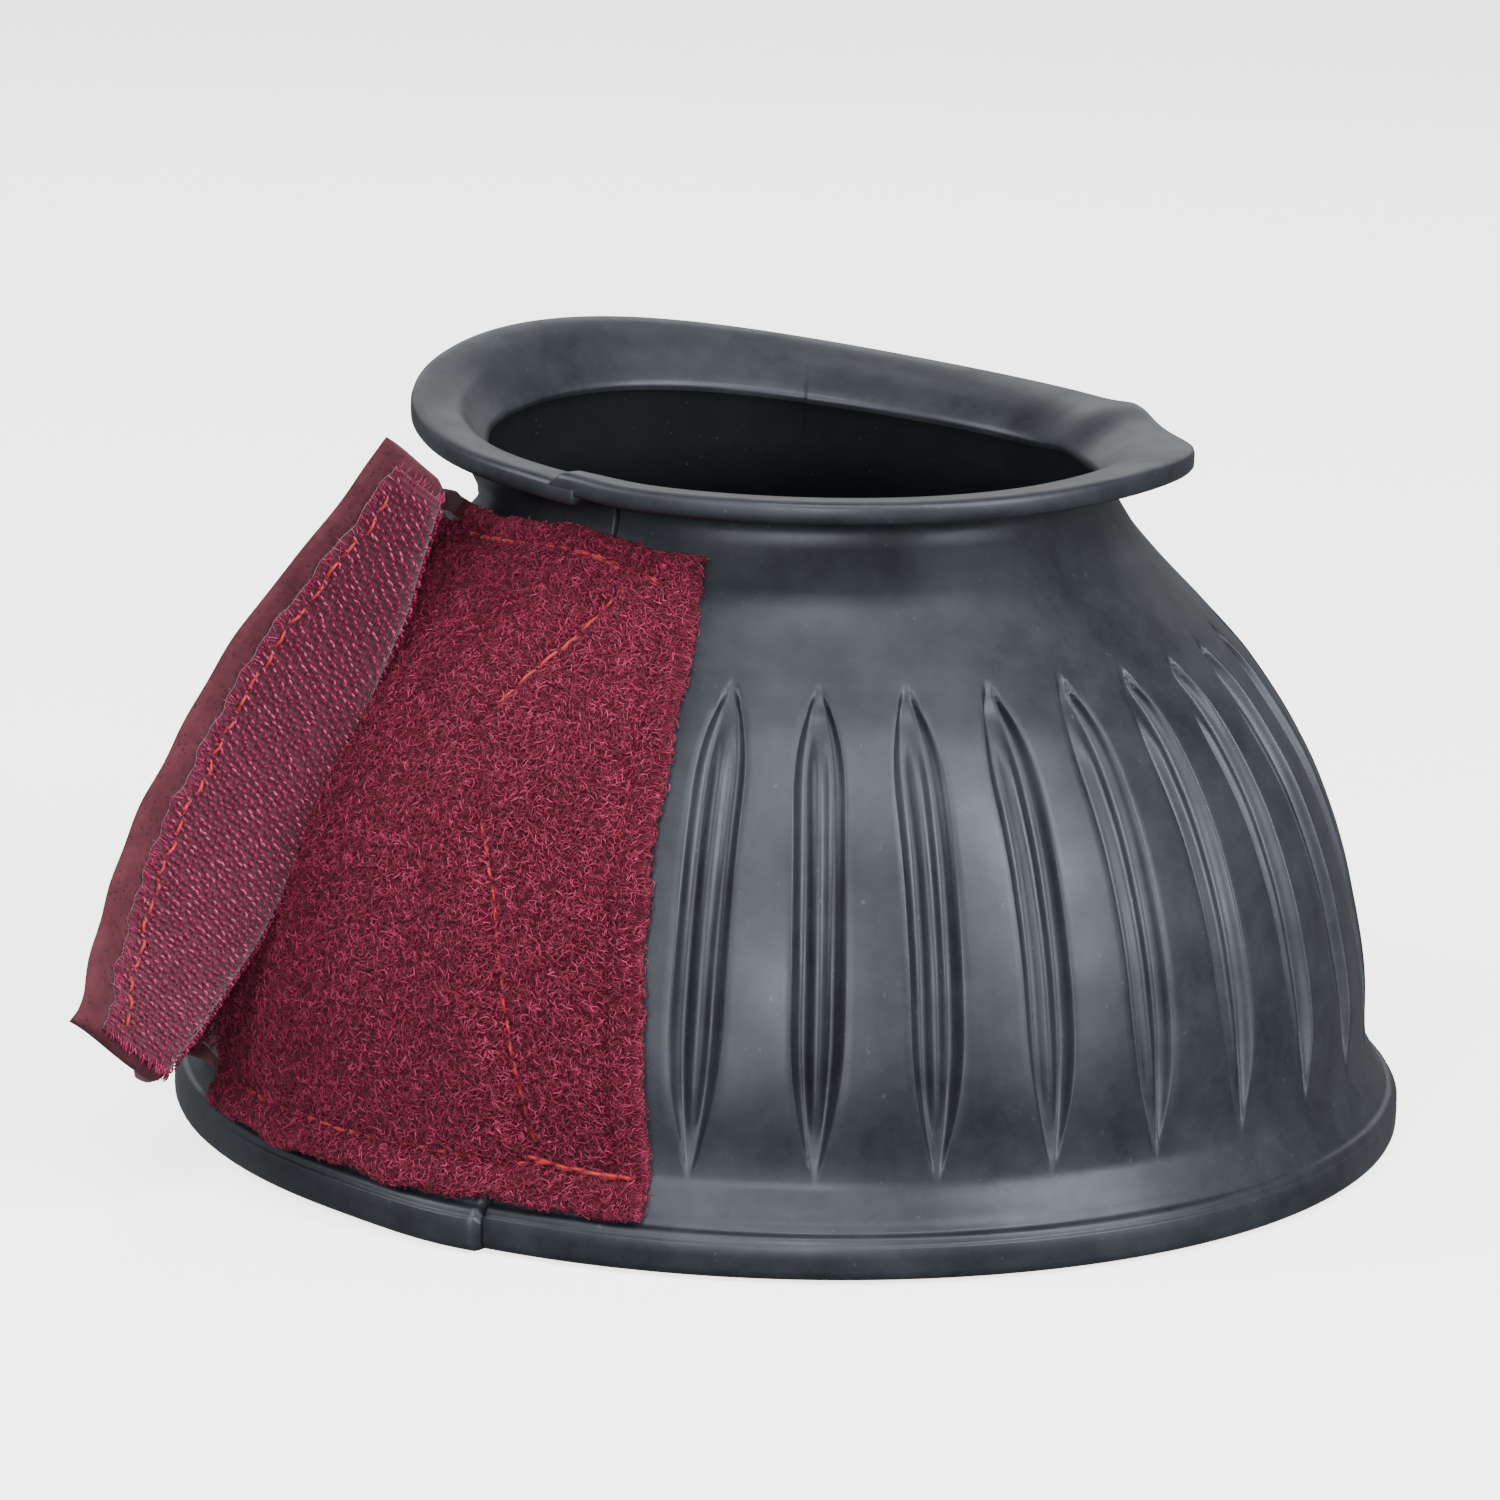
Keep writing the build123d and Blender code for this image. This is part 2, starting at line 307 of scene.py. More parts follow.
def rubber_material(name, shades, gloss, shine):
    """Matt black moulded rubber: cloudy bloom, fine grain and a few specks of dust."""
    material, tree, shader = new_material(name, (0.04, 0.045, 0.05), 0.42)
    cloud = noise(tree, 48, 8, roughness=0.72)
    base = ramp(tree, cloud, [(0.36, shades[0]), (0.66, shades[1])])
    speck = noise(tree, 900, 2)
    dust = ramp(tree, speck, [(0.70, (0, 0, 0)), (0.80, (0.05, 0.055, 0.06))])
    tree.links.new(blend_colours(tree, base, dust, "ADD", 0.5), shader.inputs["Base Color"])
    matt = node(tree, "MapRange")
    set_inputs(matt, {"To Min": gloss[0], "To Max": gloss[1]})
    tree.links.new(noise(tree, 75, 8, roughness=0.7), matt.inputs["Value"])
    tree.links.new(matt.outputs["Result"], shader.inputs["Roughness"])
    set_inputs(shader, {"IOR": 1.48, "Specular Tint": (0.84, 0.90, 1.0, 1), "Specular IOR Level": shine})
    waves = add_bump(tree, shader, noise(tree, 70, 2), 0.25, 0.5)
    add_bump(tree, shader, noise(tree, 2200, 3), 0.12, 0.08, waves)
    return material


def felt_material():
    """Brushed loop felt under its fibres."""
    material, tree, shader = new_material("loop_felt_red", (0.15, 0.01, 0.045), 0.9)
    tangle = noise(tree, 1500, 6, roughness=0.7)
    shades = [(0.32, (0.020, 0.0004, 0.003)), (0.52, (0.066, 0.0010, 0.010)), (0.72, (0.15, 0.0034, 0.027))]
    tree.links.new(ramp(tree, tangle, shades), shader.inputs["Base Color"])
    set_inputs(shader, {
        "Sheen Weight": 0.12, "Sheen Roughness": 0.5, "Sheen Tint": (0.85, 0.25, 0.4, 1),
        "Specular IOR Level": 0.2,
    })
    add_bump(tree, shader, tangle, 0.9, 0.6)
    return material


def fibre_material(name, stops, roughness, sheen):
    """Fine threads, each a little different in colour from the next."""
    material, tree, shader = new_material(name, stops[-1][1], roughness)
    island = node(tree, "NewGeometry").outputs["Random Per Island"]
    tree.links.new(ramp(tree, island, stops), shader.inputs["Base Color"])
    set_inputs(shader, {"Sheen Weight": sheen, "Specular IOR Level": 0.35})
    return material


def woven_material(name, dark, light, pitch_across, pitch_up, depth):
    """Woven ground with ribs across and threads along it."""
    material, tree, shader = new_material(name, light, 0.75)
    source = node(tree, "TexCoord")
    split = node(tree, "SeparateXYZ")
    tree.links.new(source.outputs["UV"], split.inputs["Vector"])
    turns = 2 * math.pi / (MM * 10)
    ribs = math_node(tree, "SINE", math_node(tree, "MULTIPLY", split.outputs["Y"], turns / pitch_up))
    threads = math_node(tree, "SINE", math_node(tree, "MULTIPLY", split.outputs["X"], turns / pitch_across))
    woven = math_node(tree, "ADD", math_node(tree, "MULTIPLY", ribs, 0.3), 0.5)
    both = math_node(tree, "ADD", woven, math_node(tree, "MULTIPLY", threads, 0.14))
    rough = math_node(tree, "ADD", both, math_node(tree, "MULTIPLY", noise(tree, 1600, 4), 0.35))
    tree.links.new(ramp(tree, rough, [(0.35, dark), (0.95, light)]), shader.inputs["Base Color"])
    set_inputs(shader, {"Sheen Weight": 0.3, "Specular IOR Level": 0.3})
    add_bump(tree, shader, rough, 0.8, depth)
    return material


def backing_material():
    """Soft pressed backing with tiny pin pits, darkened in its colour as painted shade in the pits."""
    material, tree, shader = new_material("flap_backing_rose", (0.26, 0.06, 0.10), 0.85)
    cloud = noise(tree, 220, 6, roughness=0.65)
    base = ramp(tree, cloud, [(0.3, (0.048, 0.0085, 0.014)), (0.7, (0.095, 0.021, 0.031))])
    source = node(tree, "TexCoord")
    pits = node(tree, "TexVoronoi", Scale=900.0)
    tree.links.new(source.outputs["Object"], pits.inputs["Vector"])
    # the pits' centres are darkened in the colour: painted shade in the pin holes
    pit_shade = ramp(tree, pits.outputs["Distance"], [(0.10, (0.25, 0.25, 0.25)), (0.24, (1, 1, 1))])
    tree.links.new(blend_colours(tree, base, pit_shade, "MULTIPLY", 0.8), shader.inputs["Base Color"])
    set_inputs(shader, {"Sheen Weight": 0.15, "Sheen Tint": (0.9, 0.55, 0.65, 1), "Specular IOR Level": 0.2})
    fine = add_bump(tree, shader, noise(tree, 1800, 4), 0.5, 0.15)
    add_bump(tree, shader, pits.outputs["Distance"], 0.5, 0.2, fine)
    return material


def thread_material():
    material, tree, shader = new_material("red_thread_red", (0.55, 0.02, 0.02), 0.55)
    shades = ramp(tree, noise(tree, 500, 3), [(0.3, (0.24, 0.003, 0.006)), (0.7, (0.46, 0.008, 0.012))])
    tree.links.new(shades, shader.inputs["Base Color"])
    shader.inputs["Sheen Weight"].default_value = 0.2
    add_bump(tree, shader, noise(tree, 3000, 2), 0.5, 0.1)
    return material


rubber = rubber_material(
    "moulded_rubber_black", [(0.0052, 0.0064, 0.0082), (0.0215, 0.0250, 0.0300)], (0.28, 0.58), 0.5,
)
# a darker, duller copy of the same rubber for the inside of the wall: painted shade inside the bell and its
# throat
rubber_painted_shade_inside = rubber_material(
    "moulded_rubber_inside_painted_shade", [(0.0035, 0.0042, 0.0050), (0.0065, 0.0075, 0.0085)], (0.75, 0.95), 0.12,
)
felt = felt_material()
felt_fibre = fibre_material(
    "felt_fibres_red",
    [(0.0, (0.066, 0.0008, 0.008)), (0.6, (0.175, 0.0026, 0.026)), (1.0, (0.42, 0.030, 0.105))],
    0.7, 0.05,
)
hook_fibre = fibre_material(
    "hook_nylon_pink",
    [(0.0, (0.13, 0.003, 0.026)), (0.6, (0.26, 0.010, 0.064)), (1.0, (0.47, 0.050, 0.150))],
    0.45, 0.04,
)
hook_ground = woven_material(
    "hook_tape_weave", (0.040, 0.0008, 0.009), (0.10, 0.003, 0.024), 0.6, 0.68, 0.15,
)
backing = backing_material()
thread = thread_material()


# ---- camera
AIM = Vector((0, 0, 0.06))
CAMERA_RISE = 12.83
CAMERA_ROLL = -1.764
CAMERA_DISTANCE = 0.9
CAMERA_LENS = 137.29
CAMERA_SHIFT = (-0.0313, -0.0181)


def add_camera():
    """The photograph's view: from the front and a little above, with a slight roll."""
    rise = math.radians(CAMERA_RISE)
    roll = math.radians(CAMERA_ROLL)
    forward = Vector((0, math.cos(rise), -math.sin(rise)))
    level = Vector((1, 0, 0))
    upward = Vector((0, math.sin(rise), math.cos(rise)))
    right = level * math.cos(roll) - upward * math.sin(roll)
    up = level * math.sin(roll) + upward * math.cos(roll)
    data = bpy.data.cameras.new("camera")
    camera = bpy.data.objects.new("camera", data)
    bpy.context.scene.collection.objects.link(camera)
    turn = Matrix((right, up, -forward)).transposed().to_4x4()
    camera.matrix_world = Matrix.Translation(AIM - forward * CAMERA_DISTANCE) @ turn
    data.sensor_width = 36
    data.lens = CAMERA_LENS
    data.shift_x, data.shift_y = CAMERA_SHIFT
    bpy.context.scene.camera = camera


add_camera()


# ---- rubber shell
LIP_LOWEST = 106.6
CREST_AZIMUTH = 225
CREST_RISE = 9.6
CREST_WIDTH = 40
# azimuth, width and height of the smaller waves, then of the places where the lip is cut back
LIP_WAVES = [(64, 22, 1.3), (117, 4.5, 1.0), (99, 8, -0.4)]
LIP_CUTS = [(107, 10, 2.3), (93, 9, 1.5)]
# (radius, height) of the wall's outline: the rim's bead, the collar's lip and the wall's foot
BEAD = [
    (92.6, 0.0), (95.4, 0.0), (96.3, 0.12), (96.75, 0.5), (96.95, 0.95), (97.0, 1.5), (97.0, 3.2),
    (96.95, 4.9), (96.85, 5.1), (96.5, 5.25), (96.4, 5.5), (96.3, 6.0), (96.0, 6.35), (95.5, 6.45),
    (95.1, 6.55), (94.85, 6.9), (94.75, 7.3),
]
LIP = [
    (49.0, 97.5), (48.3, 99.6), (48.2, 101.2), (48.8, 102.6), (50.2, 103.8), (52.4, 104.7), (55.0, 105.3),
    (58.0, 105.7), (60.3, 105.9), (61.0, 106.05), (61.35, 106.45), (61.4, 107.2), (61.4, 108.3),
    (61.2, 108.9), (60.7, 109.2), (59.6, 109.25), (57.0, 109.0), (54.0, 108.4), (51.2, 107.4),
    (48.9, 106.1), (47.1, 104.6), (45.9, 103.5), (45.4, 102.8), (45.35, 102.3), (45.7, 101.7),
    (46.6, 100.4), (46.9, 96.2),
]
FOOT = [(90.0, 8.0), (90.0, 4.0), (90.0, 0.9), (90.3, 0.3), (91.0, 0.0)]
THROAT_POINTS = 3      # the last points of LIP are inside the collar
COLLAR_WIDER = 4.0     # the collar is wider on its left side
COLLAR_SIDE = -95
LAP_AZIMUTH = -36      # where the lip's right end laps over its left end
SPLIT_GAP = 0.32
# columns across half a flute as shares of its half width, then across the land beside it
FLUTE_COLUMNS = np.array([0, 0.16, 0.30, 0.42, 0.54, 0.70, 0.82, 0.90, 0.96, 1.0])
LAND_COLUMNS = np.array([0.25, 0.62])


def lip_rise(azimuth):
    """How much higher than the plain lip the rubber stands, round the collar."""
    from_crest = np.abs(np.mod(azimuth - CREST_AZIMUTH + 180, 360) - 180)
    wave = LIP_LOWEST - LIP_TOP + CREST_RISE * bump(from_crest, 0, CREST_WIDTH)
    a = np.mod(azimuth + 180, 360) - 180
    for centre, width, rise in LIP_WAVES:
        wave = wave + rise * bump(a, centre, width)
    return wave


def shell_profile():
    """Outline of the wall, from the inside of the rim round the outside to the inside again."""
    skirt_levels = np.concatenate([
        np.linspace(7.8, 12.0, 6), np.linspace(12.7, 21.0, 13), np.linspace(22.3, 69.0, 33),
        np.linspace(70.0, 81.5, 15), np.linspace(83.0, 95.0, 9),
    ])
    outside = [(float(skirt_radius(z)), float(z)) for z in skirt_levels]
    inside_levels = np.linspace(92, 12, INSIDE_LEVELS)
    inside = [(float(skirt_radius(z)) - WALL, float(z) - WALL / 3) for z in inside_levels]
    return np.array(BEAD + outside + LIP + inside + FOOT)


def flute_width(height):
    """Half width of a flute: a leaf that is blunter at its top."""
    share = (height - FLUTE_LOW) / (FLUTE_HIGH - FLUTE_LOW)
    foot = 1 - np.clip((0.34 - share) / 0.34, 0, 1) ** 2.0
    head = 1 - np.clip((share - 0.78) / 0.22, 0, 1) ** 2.3
    inside = (share > 0) & (share < 1)
    return np.where(inside, FLUTE_HALF_WIDTH * foot * head, 0.0)


def flute_sink(across, height):
    """How deep the flute's floor and its ridge lie, across mm from its middle line."""
    half = np.maximum(flute_width(height), 0.01)
    share = np.abs(across) / half
    wall = ease((1 - share) / 0.40)
    ends = ease((height - FLUTE_LOW) / 15) * ease((FLUTE_HIGH - height) / 5)
    full = wall * (0.06 + 0.94 * ends) * np.clip(half / 1.2, 0, 1)
    ridge_ends = ease((height - FLUTE_LOW - 5) / 8) * ease((FLUTE_HIGH - 5.5 - height) / 7)
    ridge = (1 - ease((share - 0.02) / 0.46)) * ridge_ends * 0.58
    return FLUTE_DEPTH * full * (1 - ridge)


def shell_grid(profile):
    """Azimuth of each column at each level, from the split's right edge round to its left edge."""
    levels = profile[:, 1]
    radii = profile[:, 0]
    widest = np.maximum(flute_width(levels), 0.45 * FLUTE_HALF_WIDTH)
    reach = np.degrees(widest / np.maximum(radii, 45))
    half_pitch = FLUTE_PITCH / 2
    # close to the collar the flute's columns spread evenly
    even = ease((levels - 84) / 10)
    reach = np.minimum(reach, half_pitch * 0.8) * (1 - even) + half_pitch * 0.6 * even
    offsets = []
    for level_reach in reach:
        land = level_reach + LAND_COLUMNS * (half_pitch - level_reach)
        half = np.concatenate([FLUTE_COLUMNS * level_reach, land])
        offsets.append(np.concatenate([-half[:0:-1], half, [half_pitch]]))
    offsets = np.array(offsets)
    fluted = np.concatenate([offsets + FIRST_FLUTE + n * FLUTE_PITCH for n in range(FLUTE_COUNT)], 1)
    right_start = FIRST_FLUTE - half_pitch
    left_end = FIRST_FLUTE + (FLUTE_COUNT - 0.5) * FLUTE_PITCH
    split_across = along(SPLIT_LINE, levels)
    split = CLOSURE + np.degrees(np.arcsin(split_across / np.maximum(radii, 45)))
    gap = np.degrees(SPLIT_GAP / np.maximum(radii, 45))
    # the collar's right end laps over its left end
    over = ease((levels - 104.5) / 1.5) * ease((radii - 50) / 5)
    right_edge = split + gap - (1.2 + 1.2 * (LIP_TOP - levels)) * over
    left_edge = split - gap + 360 + 1.5 * over
    shares = np.concatenate([[0, 0.012, 0.03, 0.06], np.linspace(0.1, 1, 19)[:-1]])
    right = right_edge[:, None] + (right_start - right_edge)[:, None] * shares[None, :]
    left = left_edge[:, None] + (left_end - left_edge)[:, None] * shares[None, :]
    return np.concatenate([right, [[right_start]] * len(levels), fluted, left[:, ::-1]], 1)


def make_shell():
    profile = shell_profile()
    radii = profile[:, 0][:, None]
    heights = profile[:, 1][:, None]
    azimuths = shell_grid(profile)
    first_lip = len(profile) - INSIDE_LEVELS - len(FOOT) - len(LIP) + 1
    outer = np.zeros(len(profile), bool)
    outer[len(BEAD):first_lip] = True
    nearest = np.round((azimuths - FIRST_FLUTE) / FLUTE_PITCH)
    nearest = np.clip(nearest, 0, FLUTE_COUNT - 1)
    across = np.radians(azimuths - FIRST_FLUTE - nearest * FLUTE_PITCH) * radii
    sink = np.where(outer[:, None], flute_sink(across, np.broadcast_to(heights, across.shape)), 0)
    radius = radii - sink
    # the lip waves up and down, and its right end rides over its left end
    throat = np.arange(len(profile))[:, None] > int(np.argmax(profile[:, 1]))
    weight = np.where(
        throat,
        (0.6 + 0.4 * ease((radii - 46.0) / 13.0)) * ease((heights - 93) / 8),
        (0.25 + 0.75 * ease((radii - 48.0) / 11.0)) * ease((heights - 96) / 7),
    )
    wrapped = np.mod(azimuths + 180, 360) - 180
    rise = lip_rise(wrapped)
    lip_part = ease((radii - 50) / 8) * (heights > 103)
    is_right = azimuths < 180
    over = 0.85 * bump(wrapped, LAP_AZIMUTH, 5.0)
    under = -0.55 * bump(wrapped, LAP_AZIMUTH + 2, 5.0)
    lap = np.where(is_right, over, under)
    height = heights + weight * rise + lip_part * lap
    # the bead's left end springs out at the split
    spring = np.where(is_right, 0, 2.1 * bump(wrapped, -29, 6.5)) * ease((24 - heights) / 22)
    radius = radius + spring
    for centre, width, depth in LIP_CUTS:
        radius = radius - depth * bump(wrapped, centre, width) * lip_part
    collar = np.where(throat, 1 - ease((radii - 47) / 9), 1 - ease((radii - 50) / 8))
    radius = radius + COLLAR_WIDER * bump(wrapped, COLLAR_SIDE, 38) * collar * ease((heights - 95) / 5)
    # slow unevenness of a soft moulding
    between = ease((heights - 12) / 30) * ease((98 - heights) / 10)
    radius = radius + 0.35 * np.sin(np.radians(azimuths * 3 + 40)) * between
    points = polar(azimuths, radius, height)
    rows, columns = azimuths.shape
    ids = np.arange(rows * columns).reshape(rows, columns)
    wrap = np.concatenate([ids, ids[:1]], 0)
    quads = np.stack([wrap[:-1, :-1], wrap[:-1, 1:], wrap[1:, 1:], wrap[1:, :-1]], -1).reshape(-1, 4)
    ends = end_faces(profile, ids[:, 0], False) + end_faces(profile, ids[:, -1], True)
    made = new_object("bell_rubber", points, quads.tolist() + ends, rubber)
    # the inside of the wall takes the darker copy of the rubber, which is painted shade inside the bell
    made.data.materials.append(rubber_painted_shade_inside)
    strips = np.repeat(np.arange(rows), columns - 1)
    inner = (strips >= rows - INSIDE_LEVELS - len(FOOT) - THROAT_POINTS) & (strips < rows - 2)
    slots = np.zeros(len(made.data.polygons), dtype=np.int32)
    slots[:len(strips)] = inner
    made.data.polygons.foreach_set("material_index", slots)
    return made


def end_faces(profile, ids, flip):
    """Closes an end of the wall by joining each outside point to the inside opposite it."""
    top = int(np.argmax(profile[:, 1]))
    up = list(range(0, top + 1))
    down = list(range(len(profile) - 1, top, -1))
    faces = []
    i = j = 0
    while i < len(up) - 1 or j < len(down) - 1:
        go_up = i < len(up) - 1
        # step on the side whose next point lies lower on the wall
        if go_up and j < len(down) - 1:
            go_up = arc(profile, up[i + 1], top) >= arc(profile, down[j + 1], top)
        if go_up:
            face = [int(ids[up[i]]), int(ids[up[i + 1]]), int(ids[down[j]])]
            i += 1
        else:
            face = [int(ids[up[i]]), int(ids[down[j + 1]]), int(ids[down[j]])]
            j += 1
        faces.append(face[::-1] if flip else face)
    return faces


def arc(profile, index, top):
    """Distance along the wall to its top."""
    low, high = min(index, top), max(index, top)
    steps = np.linalg.norm(np.diff(profile[low:high + 1], axis=0), axis=1)
    return float(steps.sum())


shell = make_shell()
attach(shell, "shell")
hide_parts("bell_shell")


# ---- felt tab
PANEL_LEFT = [(-41.5, felt_low), (-40.2, 36.0), (-36.5, 60.0), (-31.5, 80.0), (-27.5, felt_high)]
PANEL_RIGHT = [(41.5, felt_low), (38.6, 30.0), (35.0, 50.0), (30.2, 70.0), (25.4, 82.0), (19.0, felt_high)]
FOLD = [(25.0, felt_low), (3.0, felt_high)]
FELT = 2.8             # thickness with its pile
FELT_LIFT = 1.5        # how far the loose part stands off the rubber
FELT_ACROSS = 66
FELT_UP = 86
SEAM_ANCHOR = [(10.6, 88.9), (0.8, 69.3), (13.0, 49.9), (17.6, 36.4), (26.0, 13.5)]


def felt_frame(u, v):
    """Azimuth, height and lift of the felt's underside: u runs across, v runs up."""
    wave_low = 0.35 * np.sin(u * 19) + 0.25 * np.sin(u * 43 + 1)
    high = felt_high + 0.2 + 2.0 * bump(u, 0.55, 0.2) + 0.15 * np.sin(u * 27)
    low = felt_low - 0.3 + wave_low
    height = low + (high - low) * v
    left = along(PANEL_LEFT, height) + 0.2 * np.sin(v * 31)
    right = along(PANEL_RIGHT, height) + 0.12 * np.sin(v * 37 + 2)
    across = left + (right - left) * u
    azimuth = across_to_azimuth(across, np.minimum(height, 97.0))
    fold = along(FOLD, height)
    lift = 0.1 + (FELT_LIFT - 0.1) * ease((fold - across + 4) / 9)
    return azimuth, height, lift, across


def seam_distance(across, height, seam):
    """Distance from a seam's line."""
    best = np.full(np.shape(across), 99.0)
    for (x0, y0), (x1, y1) in zip(seam, seam[1:]):
        length2 = (x1 - x0) ** 2 + (y1 - y0) ** 2
        t = np.clip(((across - x0) * (x1 - x0) + (height - y0) * (y1 - y0)) / length2, 0, 1)
        best = np.minimum(best, np.hypot(across - x0 - t * (x1 - x0), height - y0 - t * (y1 - y0)))
    return best


SEAM_BOTTOM = [(-38.0, 14.6), (-36.5, 12.2), (-8.0, 12.4), (26.0, 13.5), (40.0, 12.6)]
SEAM_TOP = [(-24.5, 91.0), (-8.0, 92.6), (4.5, 93.0), (12.0, 91.6), (16.0, 90.6)]
SEAM_LEFT = [(-37.6, 14.0), (-37.2, 22.0)]
SEAM_HIDDEN_LEFT = [(-37.2, 22.0), (-36.6, 36.0), (-33.0, 60.0), (-24.5, 91.0)]
SEAM_RIGHT = [(37.0, 14.0), (34.2, 30.0), (30.6, 50.0), (26.0, 70.0), (20.6, 84.0)]
felt_seams = [SEAM_ANCHOR, SEAM_BOTTOM, SEAM_TOP, SEAM_LEFT, SEAM_HIDDEN_LEFT, SEAM_RIGHT]


def felt_surface(u, v, side=1.0):
    """Point on the felt's face, or its back for side 0."""
    azimuth, height, lift, across = felt_frame(u, v)
    edge = np.minimum(np.minimum(u, 1 - u) * FELT_ACROSS, np.minimum(v, 1 - v) * FELT_UP)
    rounded = np.sqrt(np.clip(1 - (1 - np.clip(edge / 1.5, 0, 1)) ** 2, 0, 1))
    dent = 0
    for seam in felt_seams:
        dent = dent + 0.95 * bump(seam_distance(across, height, seam), 0, 0.8)
    dent = np.clip(dent, 0, 1.1)
    swell = 0.25 * np.sin(across * 0.31 + height * 0.11) + 0.2 * np.sin(height * 0.23 - across * 0.12)
    thick = FELT * (0.35 + 0.65 * rounded) - dent + swell * rounded
    raised = lift + np.where(side > 0.5, thick, 0.15 * (1 - rounded) * FELT)
    return on_skirt(azimuth, height, raised)


def grid_uv(across, up):
    """Even grid, closer at its borders."""
    def spaced(n):
        t = np.linspace(0, 1, n)
        return t - 0.432 * np.sin(2 * math.pi * t) / (2 * math.pi)

    u, v = np.meshgrid(spaced(across), spaced(up))
    return u, v


def surface_frame(surface, u, v, step=0.004):
    """Points, their tangents and their normals on a surface."""
    here = surface(u, v)
    ahead = surface(np.clip(u + step, 0, 1), v) - surface(np.clip(u - step, 0, 1), v)
    above = surface(u, np.clip(v + step, 0, 1)) - surface(u, np.clip(v - step, 0, 1))
    ahead = unit(ahead)
    above = unit(above)
    return here, ahead, above, unit(np.cross(ahead, above))


def curls(surface, count, length, height, radius, name, edge_share=0.0):
    """Curly fibres that lie over a sheet, each an arc that rises a little and comes down."""
    u = random.uniform(0, 1, count)
    v = random.uniform(0, 1, count)
    edged = random.uniform(0, 1, count) < edge_share
    which = random.integers(0, 4, count)
    u = np.where(edged & (which == 0), random.uniform(0, 0.012, count), u)
    u = np.where(edged & (which == 1), random.uniform(0.988, 1, count), u)
    v = np.where(edged & (which == 2), random.uniform(0, 0.012, count), v)
    v = np.where(edged & (which == 3), random.uniform(0.988, 1, count), v)
    here, ahead, above, normal = surface_frame(surface, u, v)
    outward = (
        ahead * (np.where(u < 0.012, -1, 0) + np.where(u > 0.988, 1, 0))[:, None]
        + above * (np.where(v < 0.012, -1, 0) + np.where(v > 0.988, 1, 0))[:, None]
    )
    heading = random.uniform(0, 2 * math.pi, count)
    curl = random.uniform(1.6, 4.6, count) * np.where(random.uniform(0, 1, count) < 0.5, -1, 1)
    size = length * random.uniform(0.55, 1.25, count)
    lift = height * random.uniform(0.2, 1.2, count)
    steps = np.array([-0.5, -0.18, 0.18, 0.5])
    paths = np.zeros((count, 4, 3))
    for k, step in enumerate(steps):
        # an arc of constant curl, centred on the root point
        along_arc = size * step * np.sinc(curl * step / math.pi / 2)
        angle = heading + curl * step / 2
        offset = ahead * (np.cos(angle) * along_arc)[:, None] + above * (np.sin(angle) * along_arc)[:, None]
        rise = lift * (1 - (2 * step) ** 2) - 0.12
        hang = 0.45 * (1 - (2 * step) ** 2) * size
        paths[:, k] = here + offset + normal * rise[:, None] + outward * hang[:, None]
    thick = radius * random.uniform(0.7, 1.3, count)
    return strands(name, paths, normal, thick[:, None], felt_fibre)


def make_felt():
    u, v = grid_uv(100, 120)
    top = felt_surface(u, v, np.ones_like(u))
    bottom = felt_surface(u, v, np.zeros_like(u))
    uvs = np.stack([u * FELT_ACROSS, v * FELT_UP], -1)
    return slab("felt_tab", top, bottom, felt, uvs)


felt_tab = make_felt()


def felt_back(u, v):
    return felt_surface(u, v, np.zeros_like(u))


FIBRE_BANDS = 4
FIBRES_IN_BAND = 10500


def fibre_band(band):
    """Fibres of one level band of the felt's face."""
    def surface(u, v):
        return felt_surface(u, (band + v) / FIBRE_BANDS)

    return curls(surface, FIBRES_IN_BAND, 2.5, 0.75, 0.078, f"felt_fibres_{band + 1}")


fibre_bands = [fibre_band(band) for band in range(FIBRE_BANDS)]
fibres_edge = curls(felt_surface, 4200, 2.4, 0.4, 0.072, "felt_fibres_edge", edge_share=1.0)
fibres_back = curls(felt_back, 5500, 2.4, -0.35, 0.072, "felt_fibres_back")
felt_fibres = [*fibre_bands, fibres_edge, fibres_back]


def stitches(name, line, pitch, share, radius, surface, sink=0.15, jitter=0.08):
    """Separate stitches along a line of (across, up) points, each sunk at its ends."""
    points = np.array(line, float)
    steps = np.linalg.norm(np.diff(points, axis=0), axis=1)
    total = steps.sum()
    count = max(int(total / pitch), 1)
    place = np.concatenate([[0], np.cumsum(steps)])
    paths = []
    normals = []
    for n in range(count):
        at = (n + 0.5 + share * np.array([-1 / 2, -1 / 2.6, 0, 1 / 2.6, 1 / 2])) * pitch
        x = np.interp(at, place, points[:, 0]) + random.normal(0, jitter)
        y = np.interp(at, place, points[:, 1]) + random.normal(0, 0.08)
        out = np.array([-0.5, 0.1, 0.32, 0.1, -0.5]) - sink
        paths.append(surface(x, y, out))
        normals.append(surface(x[2:3], y[2:3], out[2:3] + 1)[0] - paths[-1][2])
    paths = np.array(paths)
    radii = np.array([0.2, 1.0, 1.15, 1.0, 0.2]) * radius
    return strands(name, paths, unit(np.array(normals)), radii[None, :], thread, sides=6)


def over_felt(x, y, out):
    """A point over the felt at (across, up)."""
    fold = along(FOLD, y)
    lift = 0.1 + (FELT_LIFT - 0.1) * ease((fold - x + 4) / 9)
    return on_skirt(across_to_azimuth(x, np.minimum(y, 97.0)), y, lift + FELT - 0.95 + out)


